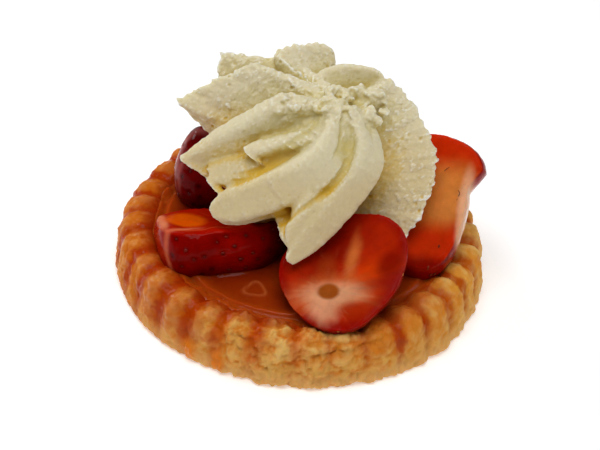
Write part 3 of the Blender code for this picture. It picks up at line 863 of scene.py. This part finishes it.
def berry_piece(berry):
    """One strawberry: dimpled skin below, a rounded edge, and the cut face with its streaks."""
    palette = PALETTES[berry.name]
    number = BERRIES.index(berry)
    long, across, facing = berry_axes(berry)
    step = np.arange(BERRY_RINGS)
    along = 0.5 - 0.5 * np.cos(np.pi * (step + 0.35) / (BERRY_RINGS - 0.3))
    turns = np.arange(BERRY_STEPS) * 2 * np.pi / BERRY_STEPS
    along, angle = np.meshgrid(along, turns, indexing="ij")
    side, up, far = berry_surface(berry, along, angle)
    local = np.stack([side, up, far], axis=-1).reshape(-1, 3)
    axes = np.stack([across, facing, long])
    centre = np.array(berry.centre)
    verts = local @ axes + centre

    face = smoothstep(berry.cut - 0.0007, berry.cut - 0.0002, local[:, 1])
    face = face * (np.sin(angle.ravel()) > -0.05)
    outline = local.reshape(BERRY_RINGS, BERRY_STEPS, 3)
    on_cut = outline[:, :, 1] > berry.cut - 0.0006
    furthest = [np.argmin(np.where(on_cut, sign * outline[:, :, 0], 1.0), axis=1) for sign in (1, -1)]
    edge = np.concatenate([outline[np.arange(BERRY_RINGS), ends][:, [0, 2]] for ends in furthest])
    tree = kd_tree([(point[0], point[1], 0) for point in edge])
    inward = np.array([tree.find((point[0], point[2], 0))[2] if on > 0.01 else 0.0
                       for point, on in zip(local, face)])

    spots = seed_spots(berry, 11 + number) + shown_seeds(berry)
    dots = kd_tree([np.stack(berry_surface(berry, np.array(share), np.array(turn))) for share, turn in spots])
    dimple = np.exp(-(distances(dots, local) / DIMPLE_RADIUS) ** 2) * (1 - face)

    from_heart = local[:, [0, 2]] - np.array(palette.heart)
    distance = np.hypot(from_heart[:, 0] * 1.15, from_heart[:, 1])
    bearing = np.arctan2(from_heart[:, 0], from_heart[:, 1])
    ray_points = np.stack([np.cos(bearing) * 3.2, np.sin(bearing) * 3.2, distance / 0.009 + number], axis=1)
    rays = grain(ray_points, 1.0, 2, number)
    fine_rays = grain(ray_points * np.array([3.2, 3.2, 1.0]), 1.0, 2, number + 4)
    swell = grain(verts, 0.007, 2, 3 + number)
    ripple = grain(verts, 0.0018, 2, 7 + number)

    thing = make_mesh(berry.name + "_flesh", verts, ring_faces(BERRY_RINGS, BERRY_STEPS))
    normals = read_points(thing, "normal")
    lumpy = grain(verts, 0.0010, 2, 21 + number) * smoothstep(0.0016, 0.0004, inward)
    push = (0.00030 * swell + 0.00005 * ripple - 0.00020 * dimple + 0.00013 * lumpy * np.maximum(face, 0.4)
            + face * (0.00010 * rays + 0.00005 * fine_rays - 0.0003 * smoothstep(0.0015, 0.005, inward)))
    verts = verts + normals * push[:, None]

    skin, deep, rim, flesh = (rgb(*value) for value in palette[:4])
    # The skin is deeper red at random, and darker in the seed dimples as painted shade.
    skin_colour = mix(skin, deep, np.clip(0.30 + 0.5 * swell + 0.7 * dimple, 0, 1))
    depth = inward + 0.0005 * rays + 0.0003 * fine_rays
    cut_colour = mix(rim, flesh, smoothstep(0.0004, 0.0030, depth))
    colours = mix(skin_colour, cut_colour, face)
    streaky = (0.35 * rays + 0.75 * fine_rays * palette.streaks) * smoothstep(0.001, 0.004, distance)
    wobble = 0.4 * ripple + streaky
    colours = painted(colours, local, ZONES.get(berry.name, []), face, wobble)
    threads = palette.streaks * smoothstep(0.0030, 0.0045, distance) * smoothstep(0.0110, 0.0060, distance)
    threads = threads * smoothstep(0.25, 0.6, fine_rays) * smoothstep(0.0010, 0.0025, inward)
    colours = mix(colours, rgb(226, 150, 104), 0.12 * threads * face)
    colours = mix(colours, colours * 0.8, 0.25 * smoothstep(0.1, 0.7, -fine_rays) * face * palette.streaks)
    colours = np.concatenate([colours, colours[:1], colours[-1:]])
    wet = 1.0 - face * smoothstep(0.0, 0.0012, inward)
    wet = np.concatenate([wet, wet[:1], wet[-1:]])
    beyond = long * 0.00002
    ends = np.stack([verts[:BERRY_STEPS].mean(0) - beyond, verts[-BERRY_STEPS:].mean(0) + beyond])
    bpy.data.meshes.remove(thing.data)
    verts = np.concatenate([verts, ends])
    thing = make_mesh(berry.name + "_flesh", verts, ring_faces(BERRY_RINGS, BERRY_STEPS), colours, wet)
    close_ends(thing, BERRY_RINGS, BERRY_STEPS, len(verts) - 2, len(verts) - 1)
    return thing, spots


def seeds(found):
    """All the seeds, each a small teardrop lying in its dimple."""
    rng = random.Random(5)
    verts, faces, colours = [], [], []
    seed_faces = tube_faces(SEED_RINGS, SEED_SIDES, ((0, 1, 2, 3), (0, 3, 4, 7), (4, 5, 6, 7)))
    for berry, spots in found:
        long, across, facing = berry_axes(berry)
        axes = np.stack([across, facing, long])
        for along, angle in spots:
            here = np.stack(berry_surface(berry, np.array(along), np.array(angle)))
            ahead = np.stack(berry_surface(berry, np.array(along + 0.01), np.array(angle)))
            beside = np.stack(berry_surface(berry, np.array(along), np.array(angle + 0.05)))
            forward = ahead - here
            forward /= np.linalg.norm(forward)
            out = np.cross(beside - here, forward)
            out /= np.linalg.norm(out)
            if np.dot(out, here * np.array([1, 1, 0.2])) < 0:
                out = -out
            width = np.cross(out, forward)
            long_half = rng.uniform(0.00040, 0.00060)
            wide_half = long_half * rng.uniform(0.55, 0.7)
            faces.append(seed_faces + len(verts))
            for ring in range(SEED_RINGS):
                lift = math.pi * (ring + 0.5) / SEED_RINGS
                size = math.sin(lift) * (1.0 - 0.25 * math.cos(lift))
                for turn in range(SEED_SIDES):
                    spin = 2 * math.pi * turn / SEED_SIDES
                    point = (here - out * 0.00028 + forward * math.cos(lift) * long_half
                             + width * math.cos(spin) * size * wide_half
                             + out * math.sin(spin) * size * SEED_HEIGHT)
                    verts.append(point @ axes + np.array(berry.centre))
            shade = rgb(*PALETTES[berry.name].seed) * rng.uniform(0.7, 1.2)
            colours += [shade] * (SEED_SIDES * SEED_RINGS)
    thing = make_mesh("achenes", np.array(verts), np.concatenate(faces), np.array(colours))
    rebuilt(thing)
    return thing


def fibres(berry, pastry_tree):
    """The short dark hairs lying on the cut face and on the pastry."""
    long, across, facing = berry_axes(berry)
    lines = []
    for track in FACE_FIBRES:
        on_face = [np.array(berry.centre) + across * side + long * far + facing * (berry.cut + 0.00006)
                   for side, far in track]
        lines.append((on_face, facing))
    for track in PASTRY_FIBRES:
        found = [pastry_tree.find_nearest(Vector(point)) for point in track]
        normal = np.array(found[0][1])
        lines.append(([np.array(place[0]) + normal * FIBRE_RADIUS for place in found], normal))
    verts, faces = [], []
    for points, facing in lines:
        faces.append(tube_faces(len(points), FIBRE_SIDES, ((0, 1, 2, 3), (0, 3, 4, 5))) + len(verts))
        for index, point in enumerate(points):
            ahead = points[min(index + 1, len(points) - 1)] - points[max(index - 1, 0)]
            ahead = ahead / np.linalg.norm(ahead)
            beside = np.cross(ahead, facing)
            size = FIBRE_RADIUS * (0.6 if index in (0, len(points) - 1) else 1.0)
            for turn in range(FIBRE_SIDES):
                angle = 2 * math.pi * turn / FIBRE_SIDES
                verts.append(point + size * (beside * math.cos(angle) + facing * math.sin(angle)))
    colours = np.repeat([rgb(*FIBRE_COLOUR)], len(verts), 0)
    thing = make_mesh("fibres", np.array(verts), np.concatenate(faces), colours)
    rebuilt(thing)
    return thing


# Jelly

def jelly(berry_tree, crust_tree):
    """The jelly's surface, which climbs a little at the pastry and at each strawberry."""
    radii = np.concatenate([np.linspace(0.0006, 0.0290, 74), np.linspace(0.0293, JELLY_REACH, 26)])
    turns = np.arange(JELLY_STEPS) * 2 * np.pi / JELLY_STEPS
    radius, azimuth = (grid.ravel() for grid in np.meshgrid(radii, turns, indexing="ij"))
    flat = round_z(radius, azimuth, np.full(len(radius), JELLY_TOP))
    slow = grain(flat, 0.009, 2, 8.0)
    height = JELLY_TOP - 0.0002 + 0.00022 * slow
    near = from_faces(berry_tree, flat)
    height = height + 0.0011 * np.exp(-near / 0.0009)
    height = height + 0.0006 * smoothstep(0.0280, 0.0306, radius)
    across, along = flat[:, 0] - BUBBLE[0], flat[:, 1] - BUBBLE[1]
    bubble = np.hypot(across, along) * (1 - 0.16 * np.cos(3 * (np.arctan2(along, across) - BUBBLE_CORNER)))
    height = height + 0.00022 * np.exp(-((bubble - BUBBLE_RADIUS) / 0.0004) ** 2)
    spread = FILM_REACH + 0.0008 * waver(azimuth, 4.4) + 0.0009 * around(np.degrees(azimuth), 232, 22)
    for index in np.nonzero(radius > 0.0290)[0]:
        hit = crust_tree.ray_cast(Vector((flat[index, 0], flat[index, 1], 0.03)), Vector((0, 0, -1)))[0]
        film = JELLY_FILM - 0.0011 * max(0.0, (radius[index] - spread[index]) / 0.0012)
        over = hit.z + film if hit is not None else height[index]
        blend = smoothstep(0.0300, 0.0318, radius[index])
        height[index] = height[index] * (1 - blend) + over * blend
    height = height + 0.00016 * grain(flat, 0.0032, 2, 18.0) * smoothstep(0.0255, 0.0290, radius)
    verts = np.stack([flat[:, 0], flat[:, 1], height], axis=1)
    # The jelly is darker near the strawberries as painted shade of them, and lighter at random and towards
    # the rim.
    dark, clear, bright = rgb(118, 26, 2), rgb(152, 50, 6), rgb(184, 74, 14)
    light = smoothstep(0.0, 0.006, near) * 0.75 + 0.25 * slow + 0.25 * smoothstep(0.022, 0.030, radius)
    colours = mix(mix(dark, clear, np.clip(light, 0, 1)), bright, smoothstep(0.027, 0.0315, radius) * 0.6)
    ring = np.exp(-((bubble - BUBBLE_RADIUS) / 0.00035) ** 2)
    colours = mix(colours, rgb(190, 100, 50), 0.45 * ring)
    rings = len(radii)
    low = np.stack([verts[-JELLY_STEPS:, 0], verts[-JELLY_STEPS:, 1], np.full(JELLY_STEPS, 0.0100)], axis=1)
    outer, inner = 0.0300 / JELLY_REACH, 0.0288 / JELLY_REACH
    verts = np.concatenate([verts, low * np.array([outer, outer, 0.95]), low * np.array([inner, inner, 0.5]),
                            [[0, 0, JELLY_TOP - 0.0002], [0, 0, 0.005]]])
    colours = np.concatenate([colours, np.repeat([bright], 2 * JELLY_STEPS, 0), [dark, dark]])
    thing = make_mesh("jelly", verts, ring_faces(rings + 2, JELLY_STEPS), colours)
    close_ends(thing, rings + 2, JELLY_STEPS, len(verts) - 2, len(verts) - 1)
    return thing


# Cream

def spline(points, roundness, count):
    tangents = [(points[1] - points[0]) * roundness[0]]
    for index in range(1, len(points) - 1):
        tangents.append((points[index + 1] - points[index - 1]) * 0.5 * roundness[index])
    tangents.append((points[-1] - points[-2]) * roundness[-1])
    curve = []
    for step in range(count):
        reach = (len(points) - 1) * step / (count - 1)
        index = min(int(reach), len(points) - 2)
        u = reach - index
        curve.append(points[index] * (2 * u**3 - 3 * u**2 + 1) + tangents[index] * (u**3 - 2 * u**2 + u)
                     + points[index + 1] * (3 * u**2 - 2 * u**3) + tangents[index + 1] * (u**3 - u**2))
    return curve


def taper(fin, down):
    tip = (1 - fin.tip_round) * math.exp(-((down - TIP_SHARE) / fin.point) ** 2)
    foot = (1 - fin.foot_round) * math.exp(-((down - FOOT_SHARE) / fin.point) ** 2)
    waist = 1 - FOOT_SHRINK * min(1.0, max(0.0, (down - 0.55) / 0.25))
    return (1 - POINT_TAPER * max(tip, foot)) * waist


def skin_rings(builder, rings):
    levels = [[builder.verts.new(point) for point in ring] for ring in rings]
    for lower, upper in zip(levels, levels[1:]):
        for here in range(len(lower)):
            after = (here + 1) % len(lower)
            builder.faces.new((lower[here], lower[after], upper[after], upper[here]))
    builder.faces.new(levels[0])
    builder.faces.new(levels[-1])


def blade(builder, fin, number, marks):
    """One fin of cream as in the solids, with a ragged edge. `marks` gets where each point lies on it."""
    crown = TEAR_CENTRE + polar(TEAR_RADIUS, math.radians(fin.crown), 0.001)
    base = polar(BASE_RADIUS * 0.6, math.radians(fin.foot[1]), BASE_CENTRE.z)
    edges = spline([crown, place(fin.shoulder), place(fin.tip), place(fin.foot), base],
                   (0.6, 1.0, fin.tip_round, fin.foot_round, 0.6), BLADE_LEVELS)
    run = 0.0
    rings = []
    for level, edge in enumerate(edges):
        run += (edge - edges[level - 1]).length if level else 0.0
        down = level / (BLADE_LEVELS - 1)
        lean = math.radians(fin.lean) * min(1.0, UPRIGHT_AT_BASE * (1.0 - down))
        root = TEAR_CENTRE.lerp(BASE_CENTRE, down)
        reach = edge - root
        spot = Vector((run / 0.0012, number * 3.7, 0))
        bent = run + 0.0008 * noise.noise(spot * 0.4)
        tooth = 0.45 * math.cos(2 * math.pi * bent / TOOTH)
        tooth = tooth + 0.7 * noise.noise(spot) + 0.6 * noise.noise(spot * 2.3)
        shown = min(1.0, 5 * (1 - down)) * min(1.0, 12 * down)
        reach = reach * (1 + fin.ragged * shown * (0.0010 * tooth - 0.0001) / reach.length)
        flat = Vector((-reach.y, reach.x, 0)).normalized()
        rise = reach.cross(flat).normalized()
        side = flat * math.cos(lean) - rise * math.sin(lean)
        wavy = noise.noise(spot * 0.35 + Vector((0, 9, 0))) * 0.0006 * fin.ragged
        thin = fin.edge * taper(fin, down) * (1 - 0.30 * fin.ragged)
        thick = max(thin, fin.root * (0.5 + 0.5 * taper(fin, down)))
        ring = []
        for turn in range(2 * BLADE_STEPS):
            out = turn if turn < BLADE_STEPS else 2 * BLADE_STEPS - 1 - turn
            share = math.sin(math.pi / 2 * (out + 0.5) / BLADE_STEPS)
            rounding = max(0.0, (share - 1) * reach.length / thin + 1)
            half = (1 - min(0.98, rounding) ** fin.square) ** (1 / fin.square)
            half = (thin + (thick - thin) * (1 - share)) * half
            point = root + reach * share + side * ((half if out == turn else -half) + wavy * share**3)
            ring.append(point)
            marks.append((point, number, run, share))
        rings.append(ring)
    skin_rings(builder, rings)


def cream_core(builder):
    section = [(0.0, 0.65), (0.10, 0.72), (0.25, 0.68), (0.45, 0.6), (0.7, 0.55), (0.92, 0.55), (1.0, 0.35)]
    rings = []
    for rise, size in section:
        middle = BASE_CENTRE.lerp(TEAR_CENTRE, rise)
        rings.append([middle + polar(size * BASE_RADIUS, 2 * math.pi * step / 40, 0) for step in range(40)])
    skin_rings(builder, rings)


def torn_lumps(builder):
    """Ragged lumps along the torn line on top."""
    rng = random.Random(23)
    line = [Vector(point) for point in TORN_LINE]
    for _ in range(LUMPS):
        start = rng.randrange(len(line) - 1)
        middle = line[start].lerp(line[start + 1], rng.random())
        radius = rng.uniform(0.0006, 0.0014)
        middle = middle + Vector((rng.gauss(0, 0.0011), rng.gauss(0, 0.0011), rng.gauss(-0.0004, 0.0004)))
        lump = bmesh.ops.create_icosphere(builder, subdivisions=2, radius=radius)
        stretch = Matrix.Diagonal((rng.uniform(0.8, 1.5), rng.uniform(0.8, 1.5), rng.uniform(0.7, 1.2), 1))
        placed = Matrix.Translation(middle) @ Matrix.Rotation(rng.uniform(0, math.pi), 4, "Z") @ stretch
        bmesh.ops.transform(builder, matrix=placed, verts=lump["verts"])


def applied(thing, kind, **settings):
    """Adds a modifier and applies it at once."""
    modifier = thing.modifiers.new(kind.lower(), kind)
    for key, value in settings.items():
        setattr(modifier, key, value)
    graph = bpy.context.evaluated_depsgraph_get()
    mesh = bpy.data.meshes.new_from_object(thing.evaluated_get(graph))
    thing.modifiers.clear()
    old = thing.data
    thing.data = mesh
    bpy.data.meshes.remove(old)


def bulge(thing, rounds):
    """How far each point stands out of the evened-out surface round it, in metres."""
    before, normals = read_points(thing), read_points(thing, "normal")
    copy = added("evened", thing.data.copy())
    applied(copy, "SMOOTH", factor=0.5, iterations=rounds)
    after = read_points(copy)
    bpy.data.objects.remove(copy, do_unlink=True)
    return ((before - after) * normals).sum(axis=1)


def tornness(torn_tree, verts):
    """1 on the torn line on top of the rosette, fading to 0 a few millimetres away."""
    return np.exp(-(distances(torn_tree, verts) / TORN_REACH) ** 2) * smoothstep(0.0390, 0.0425, verts[:, 2])


def creases(marks, verts):
    """1 along the lines where two of the front fins meet, 0 away from them."""
    near = np.sort([distances(kd_tree([mark[0] for mark in marks if mark[1] == number]), verts)
                    for number in CREASED_FINS], axis=0)
    from_tip = np.linalg.norm(verts - np.array(place(FINS[WHOLE_TIP].tip)), axis=1)
    return (np.exp(-((near[1] - near[0]) / CREASE_WIDTH) ** 2) * smoothstep(0.0060, 0.0045, near[0])
            * smoothstep(0.0070, 0.0095, from_tip))


def cream(berry_tree):
    """The rosette at full detail: ragged fins, torn lumps, ribs and pores."""
    builder = bmesh.new()
    marks = []
    cream_core(builder)
    torn_lumps(builder)
    filled = bmesh.ops.create_icosphere(builder, subdivisions=3, radius=FILL_RADIUS)
    bmesh.ops.translate(builder, vec=FILL_CENTRE, verts=filled["verts"])
    for number, fin in enumerate(FINS):
        blade(builder, fin, number, marks)
    bmesh.ops.recalc_face_normals(builder, faces=builder.faces)
    mesh = bpy.data.meshes.new("rosette")
    builder.to_mesh(mesh)
    builder.free()
    thing = added("rosette", mesh)
    applied(thing, "REMESH", mode="VOXEL", voxel_size=CREAM_VOXEL, use_smooth_shade=True)
    applied(thing, "SMOOTH", factor=0.5, iterations=2)
    line = [Vector(point) for point in TORN_LINE]
    steps = [(len(line) - 1) * index / 400 for index in range(400)]
    torn_tree = kd_tree([line[int(step)].lerp(line[int(step) + 1], step % 1) for step in steps])
    verts, normals = read_points(thing), read_points(thing, "normal")
    torn = tornness(torn_tree, verts)
    crumbs = billow(verts, 0.0021, 4, 9.0)
    lift = normals * 0.5 + np.array([0.0, 0.0, 0.7])
    verts = verts + lift * (torn * 0.0016 * (crumbs - 0.42))[:, None]
    move_points(thing, verts)
    applied(thing, "REMESH", mode="VOXEL", voxel_size=CREAM_VOXEL, use_smooth_shade=True)
    applied(thing, "SMOOTH", factor=0.5, iterations=2)

    verts, normals = read_points(thing), read_points(thing, "normal")
    tree = kd_tree([mark[0] for mark in marks])
    found = [marks[tree.find(point)[1]] for point in verts]
    number, run, share = (np.array([mark[column] for mark in found]) for column in (1, 2, 3))
    ragged = np.array([fin.ragged for fin in FINS])[number]
    ribbed = np.array([fin.ribbed for fin in FINS])[number]
    torn = tornness(torn_tree, verts)

    rough = np.maximum(0.3 + 0.7 * ragged, torn)
    ribs = grain(np.stack([run / 0.0011, share * 3.0, number * 5.0], axis=1), 1.0, 2, 6.0)
    fine = grain(verts, 0.0006, 2, 1.5)
    mid = grain(verts, 0.0015, 2, 2.5)
    wide = grain(verts, 0.0060, 2, 3.5)
    holes = pits(verts, 0.0022, 0.22, 0.26, 1.0)
    small_holes = pits(verts, 0.0010, 0.30, 0.36, 2.0)
    crease = creases(marks, verts) * (1 - torn)
    push = (0.00020 * wide + 0.00012 * mid * (0.3 + 0.7 * rough) + 0.00004 * fine * (0.7 + rough)
            - 0.00045 * crease
            + 0.00022 * ribs * ribbed * smoothstep(0.25, 0.9, share) * (1 - torn)
            - 0.00042 * holes * (0.15 + 0.85 * ragged) - 0.00014 * small_holes
            + torn * (0.00020 * mid + 0.00014 * fine))
    verts = verts + normals * push[:, None]
    move_points(thing, verts)

    # Painted shade: the cream is tinted darker and yellower where the piece closes off its own sky, in the
    # creases between fins and in its pits, and this shade is tinted lighter and less yellow on the top of the
    # rosette than on the lower fins.
    hollow = hollowness(thing)
    convex = bulge(thing, 10) / 0.00022
    high = smoothstep(0.0330, 0.0420, verts[:, 2])
    face = mix(rgb(220, 202, 158), rgb(224, 213, 178), high)
    shade = mix(rgb(216, 190, 120), rgb(214, 201, 152), high)
    pocket_shade = mix(rgb(216, 174, 48), rgb(208, 190, 120), high)
    painted_shade_share = (hollow - 0.12 * np.clip(convex, -1, 1) + 0.35 * holes * ragged + 0.2 * small_holes + 0.03 * mid
            + 0.35 * crease)
    colours = mix(face, shade, smoothstep(0.06, 0.34, painted_shade_share))
    colours = mix(colours, pocket_shade, smoothstep(0.30, 0.66, painted_shade_share) * 0.95)
    # Painted highlight: convex edges and ridges away from the hollows are lightened to near white.
    edges = smoothstep(0.05, 0.9 + 0.4 * torn, convex) * smoothstep(0.75, 0.35, hollow)
    colours = layered(colours, [
        ((247, 245, 238), (0.95 - 0.15 * torn) * edges),
        ((222, 160, 130), 0.5 * np.exp(-from_faces(berry_tree, verts) / 0.0007)),
    ])
    store(thing.data, colours)
    return thing


# The tart

tart_crust = crust()
tart_crust.data.materials.append(made_material("pastry_crumb"))
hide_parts("pastry_case")
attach(tart_crust, "root")

berry_look = made_material("glazed_strawberry")
flesh = []
spotted = []
for one in BERRIES:
    piece, spots = berry_piece(one)
    piece.data.materials.append(berry_look)
    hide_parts(one.name)
    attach(piece, "root")
    flesh.append(piece)
    spotted.append((one, spots))
achenes = seeds(spotted)
achenes.data.materials.append(made_material("achene"))
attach(achenes, "root")
pastry_faces = tree_of(tart_crust)
hairs = fibres(BERRIES[RIGHT_BERRY], pastry_faces)
hairs.data.materials.append(made_material("achene"))
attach(hairs, "root")

around_berries = tree_of(*flesh)
set_jelly = jelly(around_berries, pastry_faces)
set_jelly.data.materials.append(made_material("set_jelly"))
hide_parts("jelly_glaze")
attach(set_jelly, "root")

rosette = cream(around_berries)
rosette.data.materials.append(made_material("whipped_cream_soft"))
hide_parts("whipped_cream")
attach(rosette, "root")


# Floor, light and camera

FLOOR_SIZE = 3.0
FLOOR_DROP = 0.00002
LAMPS_AIM = Vector((0, 0, 0.02))


def floor():
    mesh = bpy.data.meshes.new("floor")
    corners = [(x * FLOOR_SIZE, y * FLOOR_SIZE, 0) for x, y in ((-1, -1), (1, -1), (1, 1), (-1, 1))]
    mesh.from_pydata(corners, [], [(0, 1, 2, 3)])
    thing = added("floor", mesh)
    material, tree, base = shader("floor_pale")
    fill_inputs(tree, base, {
        "Base Color": (0.93, 0.93, 0.93, 1), "Roughness": 0.9, "Specular IOR Level": 0.1,
        "Emission Color": (1, 1, 1, 1), "Emission Strength": 0.32})
    mesh.materials.append(material)
    thing.location = (0, 0, -FLOOR_DROP)


def area_light(name, where, size, watts, colour):
    data = bpy.data.lights.new(name, "AREA")
    data.shape = "RECTANGLE"
    data.size, data.size_y = size
    data.energy = watts
    data.color = colour
    lamp = added(name, data)
    lamp.location = where
    lamp.rotation_mode = "QUATERNION"
    lamp.rotation_quaternion = (LAMPS_AIM - Vector(where)).to_track_quat("-Z", "Y")


floor()
area_light("key", (-0.04, -0.16, 0.60), (0.46, 0.42), 2.7, (0.98, 0.99, 1.0))
area_light("back_left", (-0.44, 0.30, 0.30), (0.26, 0.14), 0.9, (1.0, 0.99, 0.98))
area_light("side", (0.48, 0.10, 0.24), (0.22, 0.20), 0.3, (1.0, 0.99, 0.98))
world = bpy.data.worlds.new("studio")
world.use_nodes = True
fill_inputs(world.node_tree, world.node_tree.nodes["Background"], {
    "Color": (1.0, 0.97, 0.88, 1), "Strength": 0.12})
bpy.context.scene.world = world
bpy.context.scene.view_settings.view_transform = "Standard"

CAMERA_RISE = math.radians(38.5)
CAMERA_ROLL = math.radians(5.0)
CAMERA_DISTANCE = 0.42
CAMERA_LENS = 112.4
CAMERA_AIM = Vector((-0.00057, 0.0, 0.0117))
camera_data = bpy.data.cameras.new("camera")
camera_data.sensor_width = 36.0
camera_data.lens = CAMERA_LENS
camera_data.clip_start = 0.01
camera = added("camera", camera_data)
forward = Vector((0, math.cos(CAMERA_RISE), -math.sin(CAMERA_RISE)))
upward = Vector((0, math.sin(CAMERA_RISE), math.cos(CAMERA_RISE)))
eye = -forward * CAMERA_DISTANCE
look = (CAMERA_AIM - eye).normalized()
turned_up = upward * math.cos(CAMERA_ROLL) - Vector((1, 0, 0)) * math.sin(CAMERA_ROLL)
rightward = look.cross(turned_up).normalized()
raised = rightward.cross(look)
camera.matrix_world = Matrix.Translation(eye) @ Matrix((rightward, raised, -look)).transposed().to_4x4()
bpy.context.scene.camera = camera
